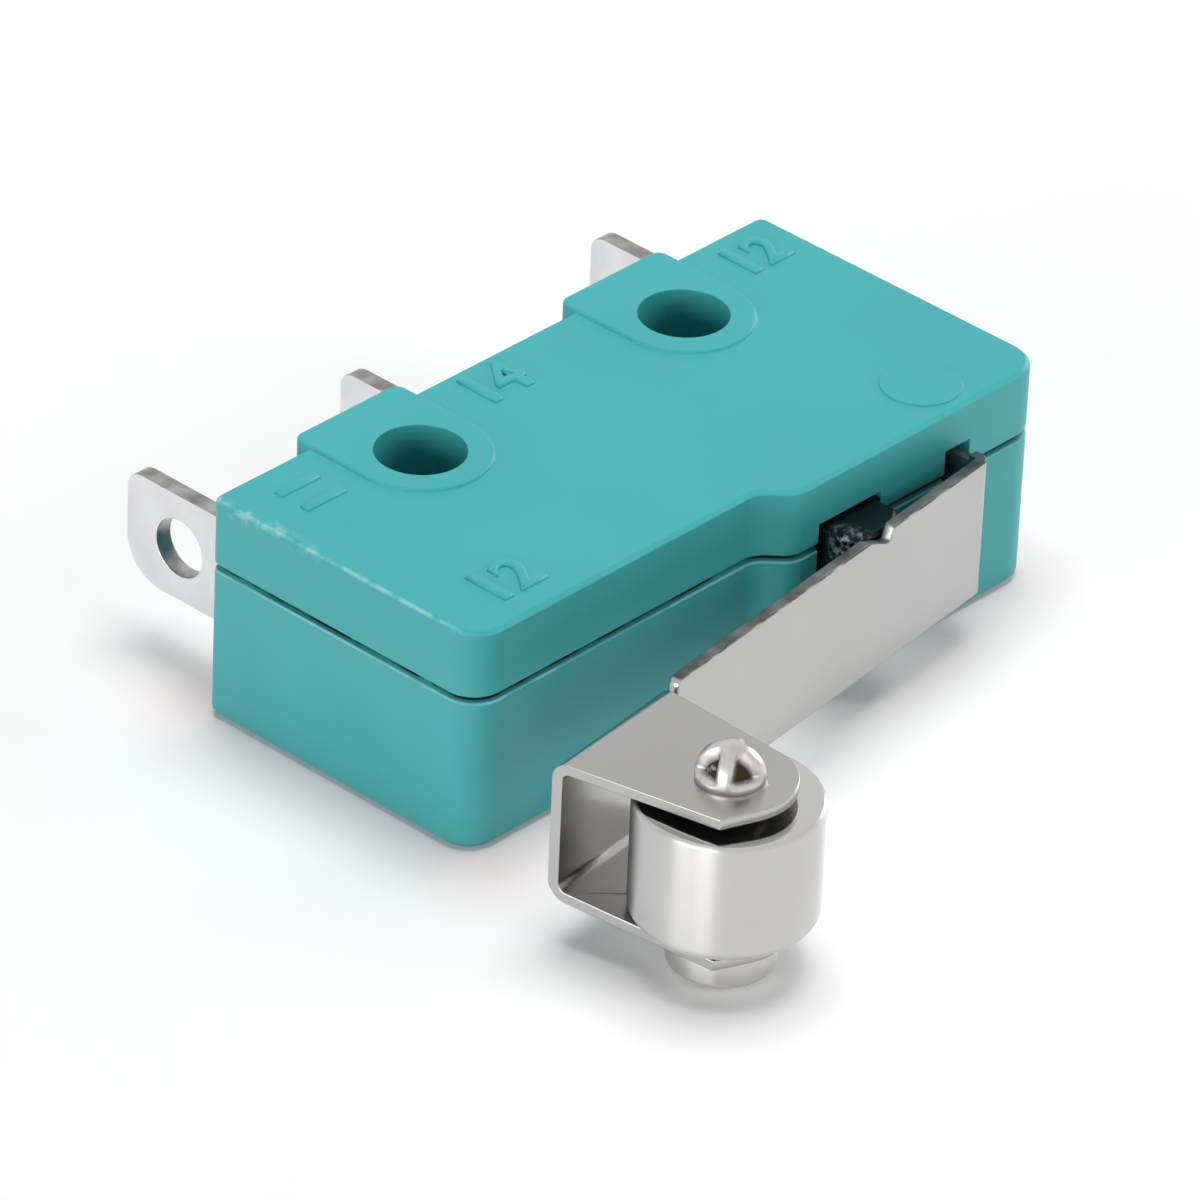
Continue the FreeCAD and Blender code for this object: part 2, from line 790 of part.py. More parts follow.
def actuator_lever():
    low = mid_z - lever_width / 2
    high = mid_z + lever_width / 2
    slope = math.radians(lever_angle)
    tab_end = hinge_y + head_length / 2
    web_end = roller_reach - ear_rear + ear_bend
    relief_depth = ear_bend + lever_sheet + relief_margin
    tab_x = (tab_end - lever_knee_y()) * -math.sin(slope)
    tab_y = (tab_end - lever_knee_y()) * -math.cos(slope)
    solid = strip([(tab_x, tab_y), (0, 0), (web_end, 0)], lever_sheet, lever_bend, low, high)
    for edge_z in (low, high):
        solid = solid.cut(block(arm_length, far, -wall, wall, edge_z - relief_depth, edge_z + relief_depth))
    solid = solid.makeFillet(arm_corner, arm_corners(solid, low, high))
    solid = solid.cut(edge_notch())
    solid = solid.fuse(ears()).cut(pin_bore())
    solid = from_lever(solid)
    shoulder = lever_knee_y() + lever_bend + lever_sheet
    for z_low, z_high in ((0, mid_z - tab_width / 2), (mid_z + tab_width / 2, body_height)):
        side = 2 * lever_sheet
        solid = solid.cut(block(hinge_x - side, hinge_x + side, shoulder, 0, z_low, z_high))
    head = block(
        hinge_x - lever_sheet / 2, hinge_x + lever_sheet / 2, hinge_y - head_length / 2, tab_end,
        mid_z - head_width / 2, mid_z + head_width / 2,
    )
    return solid.fuse(head).removeSplitter()


# Roller on its staked rivet
def roller_length():
    return lever_width + channel_drop - 2 * lever_sheet - 2 * roller_side_gap


def roller():
    half = roller_length() / 2
    bore = pin_radius + pin_fit
    rim = eased(roller_radius, half, roller_edge)
    other_rim = [(radius, -height) for radius, height in rim[::-1]]
    solid = turned([(bore, -half)] + other_rim + rim + [(bore, half)])
    solid.translate(point(roller_reach, roller_stand_off, mid_z - channel_drop / 2))
    return from_lever(solid)


def staked_end():
    """Dome pressed in at four sides by a pointed punch, which leaves a raised cross."""
    rounding = eased(stake_radius, stake_height, stake_dome)
    dome = turned([(0, 0), (stake_radius, 0)] + rounding + [(0, stake_height)])
    for quarter in range(4):
        angle = math.radians(90 * quarter)
        spot = point(stake_dent_pitch * math.cos(angle), stake_dent_pitch * math.sin(angle),
                     stake_height - stake_dent)
        punch = Part.makeCone(0, 2 * stake_dent, 2 * stake_dent, spot)
        dome = dome.cut(punch)
    return dome


def roller_rivet():
    low = mid_z - lever_width / 2 - channel_drop
    high = mid_z + lever_width / 2
    solid = Part.makeCylinder(pin_radius, high - low, point(0, 0, low))
    rim = eased(rivet_head_radius, rivet_head_height, rivet_head_edge)
    head = turned([(0, 0), (rivet_head_radius, 0)] + rim + [(0, rivet_head_height)])
    head.Placement = FreeCAD.Placement(point(0, 0, low), FreeCAD.Rotation(point(1, 0, 0), 180))
    stake = staked_end()
    stake.translate(point(0, 0, high))
    solid = solid.fuse([head, stake]).removeSplitter()
    solid.translate(point(roller_reach, roller_stand_off, 0))
    return from_lever(solid)


nodes = {
    "base_case": base_case,
    "top_cover": top_cover,
    "plunger": plunger,
    "actuator_lever": actuator_lever,
    "roller": roller,
    "roller_rivet": roller_rivet,
    "common_terminal": common_terminal,
    "normally_open_terminal": normally_open_terminal,
    "normally_closed_terminal": normally_closed_terminal,
    "normally_open_contact": normally_open_contact,
    "normally_closed_contact": normally_closed_contact,
    "contact_arm": contact_arm,
    "moving_contact": moving_contact,
    "spring_bracket": spring_bracket,
    "bracket_rivet": bracket_rivet,
    "tension_spring": tension_spring,
}

os.makedirs("parts", exist_ok=True)
for name, make in nodes.items():
    shape = make()
    if len(shape.Solids) == 1:
        shape = shape.Solids[0]
    shape.exportStep("parts/" + name + ".step")
    box = shape.BoundBox
    print(name, len(shape.Solids), shape.isValid(), round(shape.Volume, 4),
          [round(v, 2) for v in (box.XMin, box.XMax, box.YMin, box.YMax, box.ZMin, box.ZMax)])
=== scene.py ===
import math
import bpy
import bmesh
from mathutils import Matrix, Vector


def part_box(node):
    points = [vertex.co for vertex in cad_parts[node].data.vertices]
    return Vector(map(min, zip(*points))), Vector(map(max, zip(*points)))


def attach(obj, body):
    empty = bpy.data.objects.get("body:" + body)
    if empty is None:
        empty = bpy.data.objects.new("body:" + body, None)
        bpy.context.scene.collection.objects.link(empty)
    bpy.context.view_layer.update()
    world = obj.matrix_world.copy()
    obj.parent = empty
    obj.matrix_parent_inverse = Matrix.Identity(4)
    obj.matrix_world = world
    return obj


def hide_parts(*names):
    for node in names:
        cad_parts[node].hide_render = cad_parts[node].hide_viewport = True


# Looks for a subminiature lever switch with a roller, on a pale studio floor
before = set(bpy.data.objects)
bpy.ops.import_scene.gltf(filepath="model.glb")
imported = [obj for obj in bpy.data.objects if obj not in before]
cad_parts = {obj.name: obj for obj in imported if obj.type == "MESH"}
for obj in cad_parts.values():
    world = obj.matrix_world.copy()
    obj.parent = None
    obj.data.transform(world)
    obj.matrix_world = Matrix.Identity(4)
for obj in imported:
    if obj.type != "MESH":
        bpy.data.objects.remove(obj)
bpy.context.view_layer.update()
mm = 0.001
fullTurn = 2 * math.pi
print("frame loaded, nodes:", len(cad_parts))


# Materials
def linear(hexColour):  # sRGB hex to the linear colour that shaders take
    values = [int(hexColour[i:i + 2], 16) / 255 for i in (1, 3, 5)]
    return tuple(v / 12.92 if v <= 0.04045 else ((v + 0.055) / 1.055) ** 2.4 for v in values) + (1.0,)


def join(tree, source, socket):  # a node given as the source stands for its first output
    tree.links.new(source.outputs[0] if isinstance(source, bpy.types.Node) else source, socket)


def addNode(tree, kind, settings=None, links=None):  # settings name a property or a socket, links a socket
    node = tree.nodes.new(kind)
    for key, value in (settings or {}).items():
        if isinstance(key, str) and hasattr(node, key):
            setattr(node, key, value)
        else:
            node.inputs[key].default_value = value
    for key, source in (links or {}).items():
        join(tree, source, node.inputs[key])
    return node


def emptyMaterial(name):
    material = bpy.data.materials.new(name)
    material.use_nodes = True
    material.node_tree.nodes.clear()
    return material, material.node_tree


def placeInMm(tree):  # the piece's own place in millimetres
    place = addNode(tree, "ShaderNodeTexCoord").outputs["Object"]
    return addNode(tree, "ShaderNodeVectorMath", {"operation": "SCALE", "Scale": 1 / mm}, {0: place})


def newMaterial(name):
    material, tree = emptyMaterial(name)
    here = placeInMm(tree)
    shader = addNode(tree, "ShaderNodeBsdfPrincipled")
    addNode(tree, "ShaderNodeOutputMaterial", links={"Surface": shader})
    return material, tree, shader, here


def setSurface(tree, shader, look, colour, rough, grain):  # links what varies over the surface
    bump = addNode(tree, "ShaderNodeBump", {"Strength": look["strength"], "Distance": look["depth"] * mm},
                   {"Height": grain})
    join(tree, colour, shader.inputs["Base Color"])
    join(tree, rough, shader.inputs["Roughness"])
    join(tree, bump, shader.inputs["Normal"])


noiseSpread = {"From Min": 0.35, "From Max": 0.65}  # where most of a soft noise's values lie

tealLook = {
    "colour": "#44B0B3",
    "shade": "#40ABAE",
    "cloudMm": 5.0,
    "grainMm": 0.16,
    "roughness": (0.4, 0.52),
    "strength": 0.35,
    "depth": 0.004,
    "ior": 1.5,
}
# Groove between the shells: painted shade on its upper side, a painted highlight on its lower rim, and patches of
# painted shadow as if the shells stood open there
seam = {
    "under": {"colour": "#0E7275", "z": 4.32, "halfMm": 0.07, "patchMm": 5.0, "fill": 0.4},
    "rim": {"colour": "#86D0D0", "z": 4.23, "halfMm": 0.035, "patchMm": 1.2, "fill": 0.35},
    "paintedGapShadow": {"colour": "#041314", "z": 4.35, "halfMm": 0.05, "patchMm": 1.4, "fill": 0.0},
}
seamPatches = {"From Min": 0.42, "From Max": 0.54}
# Rubbing along the top edge of the left end: a thin line there, partly wear and partly a painted highlight along the
# edge, and chipped patches that grow to the rear
scuffsAndHighlight = {
    "colour": "#A9DCDB",
    "edgeX": -9.84,
    "edgeZ": 6.25,
    "line": {"reachMm": 0.08, "coreMm": 0.02, "chips": (0.4, 0.6)},
    "patches": {"reachMm": 0.32, "coreMm": 0.05, "chips": (0.5, 0.62)},
    "rearwards": (-2.6, 0.8),
    "chipMm": 0.5,
    "amount": 0.68,
}


# a band at one height along the groove, broken into patches, that carries painted shade or a painted highlight
def seamMask(tree, here, line):
    axes = addNode(tree, "ShaderNodeSeparateXYZ", links={0: here})
    off = addNode(tree, "ShaderNodeMath", {"operation": "SUBTRACT", 1: line["z"]}, {0: axes.outputs["Z"]})
    away = addNode(tree, "ShaderNodeMath", {"operation": "ABSOLUTE"}, {0: off})
    near = addNode(tree, "ShaderNodeMapRange", {"From Min": line["halfMm"], "From Max": line["halfMm"] / 2},
                   {"Value": away})
    patches = addNode(tree, "ShaderNodeTexNoise", {"Scale": 1 / line["patchMm"], "Detail": 3.0}, {"Vector": here})
    patchShare = addNode(tree, "ShaderNodeMapRange", {**seamPatches, "To Min": line["fill"]}, {"Value": patches})
    return addNode(tree, "ShaderNodeMath", {"operation": "MULTIPLY"}, {0: near, 1: patchShare})


# scuffs, and a painted highlight along the cover's left top edge
def scuffAndHighlightMask(tree, here):
    axes = addNode(tree, "ShaderNodeSeparateXYZ", links={0: here})
    corner = addNode(tree, "ShaderNodeCombineXYZ", {"X": scuffsAndHighlight["edgeX"], "Z": scuffsAndHighlight["edgeZ"]},
                     {"Y": axes.outputs["Y"]})
    away = addNode(tree, "ShaderNodeVectorMath", {"operation": "DISTANCE"}, {0: here, 1: corner}).outputs["Value"]
    chips = addNode(tree, "ShaderNodeTexNoise", {"Scale": 1 / scuffsAndHighlight["chipMm"], "Detail": 5.0, "Roughness": 0.6},
                    {"Vector": here})
    marks = []
    for part in (scuffsAndHighlight["line"], scuffsAndHighlight["patches"]):
        near = addNode(tree, "ShaderNodeMapRange", {"From Min": part["reachMm"], "From Max": part["coreMm"]},
                       {"Value": away})
        kept = addNode(tree, "ShaderNodeMapRange", {"From Min": part["chips"][0], "From Max": part["chips"][1]},
                       {"Value": chips})
        marks.append(addNode(tree, "ShaderNodeMath", {"operation": "MULTIPLY"}, {0: near, 1: kept}))
    low, high = scuffsAndHighlight["rearwards"]
    rear = addNode(tree, "ShaderNodeMapRange", {"From Min": low, "From Max": high}, {"Value": axes.outputs["Y"]})
    growing = addNode(tree, "ShaderNodeMath", {"operation": "MULTIPLY"}, {0: marks[1], 1: rear})
    both = addNode(tree, "ShaderNodeMath", {"operation": "MAXIMUM"}, {0: marks[0], 1: growing})
    return addNode(tree, "ShaderNodeMath", {"operation": "MULTIPLY", 1: scuffsAndHighlight["amount"]}, {0: both})


# Glass-filled PBT out of a spark-eroded mould: an even satin skin with a fine grain and softly clouded colour
def mouldedPbt(name, look, scuffedAndHighlit):
    material, tree, shader, here = newMaterial(name)
    cloud = addNode(tree, "ShaderNodeTexNoise", {"Scale": 1 / look["cloudMm"], "Detail": 2.0}, {"Vector": here})
    share = addNode(tree, "ShaderNodeMapRange", noiseSpread, {"Value": cloud})
    colour = addNode(tree, "ShaderNodeMix", {"data_type": "RGBA", 6: linear(look["colour"]), 7: linear(look["shade"])},
                     {0: share}).outputs[2]
    grain = addNode(tree, "ShaderNodeTexNoise", {"Scale": 1 / look["grainMm"], "Detail": 3.0, "Roughness": 0.6},
                    {"Vector": here})
    rough = addNode(tree, "ShaderNodeMapRange", {"To Min": look["roughness"][0], "To Max": look["roughness"][1]},
                    {"Value": grain})
    # painted shade, highlight and gap shadow along the groove between the shells, then on the cover the scuffs with
    # their painted edge highlight
    marks = [(line["colour"], seamMask(tree, here, line)) for line in seam.values()]
    if scuffedAndHighlit:
        marks.append((scuffsAndHighlight["colour"], scuffAndHighlightMask(tree, here)))
    for markColour, mask in marks:
        colour = addNode(tree, "ShaderNodeMix", {"data_type": "RGBA", 7: linear(markColour)},
                         {0: mask, 6: colour}).outputs[2]
    setSurface(tree, shader, look, colour, rough, grain)
    shader.inputs["IOR"].default_value = look["ior"]
    return material


def edgeLineMask(tree, here, line):  # thin dark line where the arm's flat meets its sheared top edge
    axes = addNode(tree, "ShaderNodeSeparateXYZ", links={0: here})
    breaks = addNode(tree, "ShaderNodeTexNoise", {"Scale": 1 / line["patchMm"], "Detail": 3.0}, {"Vector": here})
    mask = None
    for value, (low, high) in ((axes.outputs["Z"], line["rises"]), (axes.outputs["Y"], line["fromEars"]),
                               (breaks.outputs[0], line["breaks"]), (axes.outputs["Z"], line["ends"])):
        share = addNode(tree, "ShaderNodeMapRange", {"From Min": low, "From Max": high}, {"Value": value})
        mask = addNode(tree, "ShaderNodeMath", {"operation": "MULTIPLY"}, {0: mask, 1: share}) if mask else share
    return mask


# Bare metals, drawn from a grain that is stretched along the way the piece was rolled, turned or stamped
def workedMetal(name, look, edgeLine=None, stain=None):
    material, tree, shader, here = newMaterial(name)
    turned = addNode(tree, "ShaderNodeMapping", {"Rotation": (0, 0, math.radians(look.get("angle", 0))),
                                                 "Scale": [1 / size for size in look["grainMm"]]}, {"Vector": here})
    grain = addNode(tree, "ShaderNodeTexNoise", {"Scale": 1.0, "Detail": 3.0, "Roughness": 0.55}, {"Vector": turned})
    patches = addNode(tree, "ShaderNodeTexNoise", {"Scale": 1 / look["patchMm"], "Detail": 3.0}, {"Vector": here})
    share = addNode(tree, "ShaderNodeMapRange", noiseSpread, {"Value": patches})
    colour = addNode(tree, "ShaderNodeMix",
                     {"data_type": "RGBA", 6: linear(look["colour"]), 7: linear(look["tarnish"])},
                     {0: share}).outputs[2]
    rough = addNode(tree, "ShaderNodeMapRange", {"To Min": look["roughness"][0], "To Max": look["roughness"][1]},
                    {"Value": grain})
    if edgeLine:
        colour = addNode(tree, "ShaderNodeMix", {"data_type": "RGBA", 7: linear(edgeLine["colour"])},
                         {0: edgeLineMask(tree, here, edgeLine), 6: colour}).outputs[2]
    if stain:
        pressed = addNode(tree, "ShaderNodeAttribute", {"attribute_name": stain["attribute"]}).outputs["Fac"]
        deep = addNode(tree, "ShaderNodeMapRange", {"From Min": stain["from"], "From Max": 1.0}, {"Value": pressed})
        blots = addNode(tree, "ShaderNodeTexNoise", {"Scale": 1 / stain["patchMm"], "Detail": 4.0}, {"Vector": here})
        kept = addNode(tree, "ShaderNodeMapRange", {"From Min": stain["blots"][0], "From Max": stain["blots"][1]},
                       {"Value": blots})
        mask = addNode(tree, "ShaderNodeMath", {"operation": "MULTIPLY"}, {0: deep, 1: kept})
        colour = addNode(tree, "ShaderNodeMix", {"data_type": "RGBA", 7: linear(stain["colour"])},
                         {0: mask, 6: colour}).outputs[2]
        rough = addNode(tree, "ShaderNodeMath", {"operation": "MULTIPLY_ADD", 1: stain["rougher"]},
                        {0: mask, 2: rough})
    setSurface(tree, shader, look, colour, rough, grain)
    shader.inputs["Metallic"].default_value = 1.0
    shader.inputs["Anisotropic"].default_value = look.get("anisotropy", 0)
    shader.inputs["Anisotropic Rotation"].default_value = 0.25  # the grooves run round, so a highlight runs upright
    return material


# Cold-rolled nickel-plated strip: a grey satin with faint lines along its length
leverLook = {"colour": "#BDBCBB", "tarnish": "#B8B7B6", "grainMm": (3.5, 0.08, 0.08), "angle": 7, "patchMm": 4.0,
             "roughness": (0.24, 0.28), "strength": 0.08, "depth": 0.001}
# The same strip where the tool sheared it: duller and torn across
shearedLook = {"colour": "#868A89", "tarnish": "#5C5F5E", "grainMm": (0.12, 0.12, 0.6), "angle": 7, "patchMm": 0.8,
               "roughness": (0.32, 0.5), "strength": 0.4, "depth": 0.004}
# Between the two, a dark line broken up by noise: from none to full and back to none at these heights, and none on the
# ears
armEdgeLine = {"colour": "#4A4E4E", "patchMm": 0.7, "breaks": (0.3, 0.5), "rises": (5.08, 5.115), "ends": (5.25, 5.23),
               "fromEars": (-10.3, -10.1)}
# Turned and polished steel: bright, with very fine rings round it that draw each highlight out upright
rollerLook = {"colour": "#D2D1D0", "tarnish": "#CCCBCA", "grainMm": (4.0, 4.0, 0.03), "patchMm": 4.0,
              "roughness": (0.34, 0.4), "strength": 0.15, "depth": 0.001, "anisotropy": 0.9}
# Its faced ends: ground flat and near mirror bright
facedLook = {"colour": "#D2D1D0", "tarnish": "#CCCBCA", "grainMm": (0.3, 0.3, 0.3), "patchMm": 4.0,
             "roughness": (0.1, 0.16), "strength": 0.1, "depth": 0.001}
# Nickel-plated rivet steel: bright, a little rough where it was upset
rivetLook = {"colour": "#DCDAD8", "tarnish": "#C9C5C0", "grainMm": (0.2, 0.2, 0.2), "patchMm": 0.35,
             "roughness": (0.26, 0.4), "strength": 0.3, "depth": 0.005}
# The bottoms of its punch marks, where the plating cracked and browned
rivetStain = {"attribute": "pressed", "colour": "#43382B", "from": 0.5, "patchMm": 0.4, "blots": (0.38, 0.5),
              "rougher": 0.15}
# The formed head below it: smooth, with fine drawing lines round it
headLook = {"colour": "#E2E1DF", "tarnish": "#D6D5D2", "grainMm": (2.0, 2.0, 0.04), "patchMm": 1.5,
            "roughness": (0.3, 0.36), "strength": 0.15, "depth": 0.001, "anisotropy": 0.85}
# Stamped brass under bright tin: a whitish satin
tinLook = {"colour": "#E4E4E5", "tarnish": "#DADADC", "grainMm": (0.6, 0.6, 0.08), "patchMm": 1.2,
           "roughness": (0.3, 0.42), "strength": 0.3, "depth": 0.003}
# The cut edges of the same strip: greyer and streaked by the die
cutTinLook = {"colour": "#BDBCBA", "tarnish": "#8F8E8C", "grainMm": (0.2, 0.1, 0.5), "patchMm": 0.5,
              "roughness": (0.3, 0.45), "strength": 0.4, "depth": 0.004}
# Fine silver contact faces: soft white metal
silverLook = {"colour": "#E8E6E2", "tarnish": "#CFCAC0", "grainMm": (0.1, 0.1, 0.1), "patchMm": 0.4,
              "roughness": (0.25, 0.4), "strength": 0.3, "depth": 0.003}
# Rolled beryllium copper strip: warm and satin
copperLook = {"colour": "#D9A07C", "tarnish": "#B9805E", "grainMm": (1.5, 0.05, 0.05), "patchMm": 1.5,
              "roughness": (0.24, 0.38), "strength": 0.25, "depth": 0.002}
# Drawn spring wire: dark bright steel
wireLook = {"colour": "#A9ABAE", "tarnish": "#94969A", "grainMm": (0.4, 0.05, 0.05), "patchMm": 0.6,
            "roughness": (0.22, 0.34), "strength": 0.2, "depth": 0.001}

plungerLook = {
    "colour": "#060D0F",
    "wornColour": "#8A9A9C",
    "roughness": 0.3,
    "rougher": 0.25,  # more than that where it is worn
    "gloss": 0.25,
    "ior": 1.48,
    "speckMm": 0.19,
    "specks": (0.48, 0.62),
    "strength": 0.3,
    "depth": 0.004,
    "rubX": 1.7,
    "rubY": -8.45,
    "reachMm": 0.75,
    "coreMm": 0.1,
}


# Black moulded acetal: smooth and dark, rubbed grey and speckled where the lever slides on it
def mouldedAcetal(name, look):
    material, tree, shader, here = newMaterial(name)
    axes = addNode(tree, "ShaderNodeSeparateXYZ", links={0: here})
    corner = addNode(tree, "ShaderNodeCombineXYZ", {"X": look["rubX"], "Y": look["rubY"]}, {"Z": axes.outputs["Z"]})
    away = addNode(tree, "ShaderNodeVectorMath", {"operation": "DISTANCE"}, {0: here, 1: corner}).outputs["Value"]
    specks = addNode(tree, "ShaderNodeTexNoise", {"Scale": 1 / look["speckMm"], "Detail": 4.0, "Roughness": 0.7},
                     {"Vector": here})
    near = addNode(tree, "ShaderNodeMapRange", {"From Min": look["reachMm"], "From Max": look["coreMm"]},
                   {"Value": away})
    spots = addNode(tree, "ShaderNodeMapRange", {"From Min": look["specks"][0], "From Max": look["specks"][1]},
                    {"Value": specks})
    worn = addNode(tree, "ShaderNodeMath", {"operation": "MULTIPLY"}, {0: near, 1: spots})
    colour = addNode(tree, "ShaderNodeMix",
                     {"data_type": "RGBA", 6: linear(look["colour"]), 7: linear(look["wornColour"])},
                     {0: worn}).outputs[2]
    rough = addNode(tree, "ShaderNodeMath", {"operation": "MULTIPLY_ADD", 1: look["rougher"], 2: look["roughness"]},
                    {0: worn})
    setSurface(tree, shader, look, colour, rough, specks)
    shader.inputs["IOR"].default_value = look["ior"]
    shader.inputs["Specular IOR Level"].default_value = look["gloss"]
    return material


coverPbt = mouldedPbt("coverPbt", tealLook, scuffedAndHighlit=True)
basePbt = mouldedPbt("basePbt", tealLook, scuffedAndHighlit=False)
blackAcetal = mouldedAcetal("blackAcetal", plungerLook)
leverSteel = workedMetal("rolledLeverSteel", leverLook, edgeLine=armEdgeLine)
shearedSteel = workedMetal("shearedLeverEdge", shearedLook)
rollerSteel = workedMetal("turnedRollerSteel", rollerLook)
facedSteel = workedMetal("facedRollerSteel", facedLook)
rivetSteel = workedMetal("upsetRivetSteel", rivetLook, stain=rivetStain)
headSteel = workedMetal("formedRivetHead", headLook)
cutBrass = workedMetal("cutTinnedBrass", cutTinLook)
tinnedBrass = workedMetal("tinnedBrass", tinLook)
contactSilver = workedMetal("contactSilver", silverLook)
springCopper = workedMetal("rolledSpringCopper", copperLook)
springWire = workedMetal("drawnSpringWire", wireLook)
print("materials made")

# Pieces
weld = 0.0005 * mm  # points closer than this are one
flatRidge = 1  # degrees, below which two of a CAD node's triangles are one face
softAngle = 30  # degrees, above which an edge is softened
flatFirst = 100  # weight that keeps a flat face's shading flat beside its softened edges
levelNormal = 0.9  # upward share of the normal of a face that counts as level


def addPiece(name, bm, material, body, cadNode=None):  # a finished bmesh becomes a piece that rides on a body
    mesh = bpy.data.meshes.new(name)
    bm.to_mesh(mesh)
    bm.free()
    piece = bpy.data.objects.new(name, mesh)
    bpy.context.scene.collection.objects.link(piece)
    mesh.materials.append(material)
    mesh.polygons.foreach_set("use_smooth", [True] * len(mesh.polygons))
    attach(piece, body)
    if cadNode:
        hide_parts(cadNode)
    return piece


def mergedCopy(node):  # the CAD node's own form, merged and cleaned of its flat triangles
    bm = bmesh.new()
    bm.from_mesh(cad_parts[node].data)
    bmesh.ops.remove_doubles(bm, verts=bm.verts, dist=weld)
    bmesh.ops.dissolve_limit(bm, angle_limit=math.radians(flatRidge), verts=bm.verts, edges=bm.edges)
    return bm


def softenEdges(piece, width, segments):
    bevel = piece.modifiers.new("softEdges", "BEVEL")
    bevel.width = width * mm
    bevel.segments = segments
    bevel.limit_method = "ANGLE"
    bevel.angle_limit = math.radians(softAngle)
    flats = piece.modifiers.new("flatFaces", "WEIGHTED_NORMAL")
    flats.weight = flatFirst


shell = {"edge": 0.08, "segments": 4}
for name, node, material in (("coverShell", "top_cover", coverPbt), ("baseShell", "base_case", basePbt)):
    piece = addPiece(name, mergedCopy(node), material, "case", node)
    softenEdges(piece, shell["edge"], shell["segments"])
print("shells done")

leverSheet = {
    "edge": 0.035,
    "segments": 2,
    "earsFrom": -10.25,  # the ears lie in front of this
    "kneeX": 6.65,  # where the arm leaves the case, and how far it slants
    "kneeY": -8.47,
    "angle": 7,
    "channelFrom": 13.2,  # along the arm, from its knee to the ears
    "upperSplay": 0.034,
    "lowerSplay": 0.1,
    "lowerLift": 0.22,
    "flattensAt": 3.0,  # out from the web, where the lower ear's droop runs out
    "lowerTop": 2.0,
    "upperBottom": 4.4,
}


def outFromWeb(x, y):  # how far a spot stands out from the lever's web, and how far along it
    turn = math.radians(leverSheet["angle"])
    away = Vector((x - leverSheet["kneeX"], y - leverSheet["kneeY"]))
    return away.dot(Vector((math.sin(turn), -math.cos(turn)))), away.dot(Vector((-math.cos(turn), -math.sin(turn))))


bm = mergedCopy("actuator_lever")
for v in bm.verts:  # the ears spring open a little after the fold
    out, along = outFromWeb(v.co.x / mm, v.co.y / mm)
    if along < leverSheet["channelFrom"]:
        continue
    if v.co.z < leverSheet["lowerTop"] * mm:
        sprung = leverSheet["flattensAt"] * math.tanh(max(out, 0) / leverSheet["flattensAt"])
        v.co.z += (leverSheet["lowerLift"] - leverSheet["lowerSplay"] * sprung) * mm
    elif v.co.z > leverSheet["upperBottom"] * mm:
        v.co.z += leverSheet["upperSplay"] * max(out, 0) * mm
bm.normal_update()
leverPiece = addPiece("foldedLever", bm, leverSteel, "lever", "actuator_lever")
leverPiece.data.materials.append(shearedSteel)
for face in leverPiece.data.polygons:  # the arm's two long edges, not the ears
    if abs(face.normal.z) > levelNormal and face.center.y > leverSheet["earsFrom"] * mm:
        face.material_index = 1
softenEdges(leverPiece, leverSheet["edge"], leverSheet["segments"])

plungerForm = {"edge": 0.05, "segments": 3}
button = addPiece("plungerButton", mergedCopy("plunger"), blackAcetal, "plunger", "plunger")
softenEdges(button, plungerForm["edge"], plungerForm["segments"])

terminalForm = {"edge": 0.04, "segments": 2, "cutBelow": 0.5}  # a face turned less to the side than this was cut
for name, node in (("commonBlade", "common_terminal"), ("openBlade", "normally_open_terminal"),
                   ("closedBlade", "normally_closed_terminal")):
    bm = mergedCopy(node)
    for face in bm.faces:
        if abs(face.normal.x) < terminalForm["cutBelow"]:
            face.material_index = 1
    blade = addPiece(name, bm, tinnedBrass, "case", node)
    blade.data.materials.append(cutBrass)
    softenEdges(blade, terminalForm["edge"], terminalForm["segments"])
print("lever, plunger and terminals done")

rollerBox = [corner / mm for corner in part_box("roller")]
roller = {
    "centre": (rollerBox[0] + rollerBox[1]) / 2,
    "radius": (rollerBox[1].x - rollerBox[0].x) / 2,
    "half": (rollerBox[1].z - rollerBox[0].z) / 2,
    "topRim": (0.12, 5),  # width and segments
    "lowRim": (0.35, 8),
    "bore": 0.8,
    "boreRim": (0.05, 2),
    "steps": 128,
}
rimFinder = {"level": 0.001, "round": 0.01}  # mm that a rim's points may be off its height and its radius


def turnedPiece(centre, profile, closed, steps):  # spins a profile of radius and height round an upright axis
    bm = bmesh.new()
    spots = [bm.verts.new((centre + Vector((radius, 0, height))) * mm) for radius, height in profile]
    pairs = zip(spots, spots[1:] + spots[:1]) if closed else zip(spots, spots[1:])
    edges = [bm.edges.new(pair) for pair in pairs]
    bmesh.ops.spin(bm, geom=spots + edges, cent=centre * mm, axis=(0, 0, 1), angle=fullTurn, steps=steps,
                   use_merge=True)
    bmesh.ops.remove_doubles(bm, verts=bm.verts, dist=weld)
    bmesh.ops.recalc_face_normals(bm, faces=bm.faces)
    return bm


def roundRims(bm, centre, radius, heights, rim):  # rounds the circles of this radius at these heights
    width, segments = rim
    rims = []
    for edge in bm.edges:
        flat = abs(edge.verts[0].co.z - edge.verts[1].co.z) < rimFinder["level"] * mm
        level = any(abs(edge.verts[0].co.z - (centre.z + height) * mm) < rimFinder["level"] * mm for height in heights)
        out = all(abs((v.co.xy - centre.xy * mm).length - radius * mm) < rimFinder["round"] * mm for v in edge.verts)
        if flat and level and out:
            rims.append(edge)
    bmesh.ops.bevel(bm, geom=rims, offset=width * mm, affect="EDGES", segments=segments, profile=0.5, material=-1)


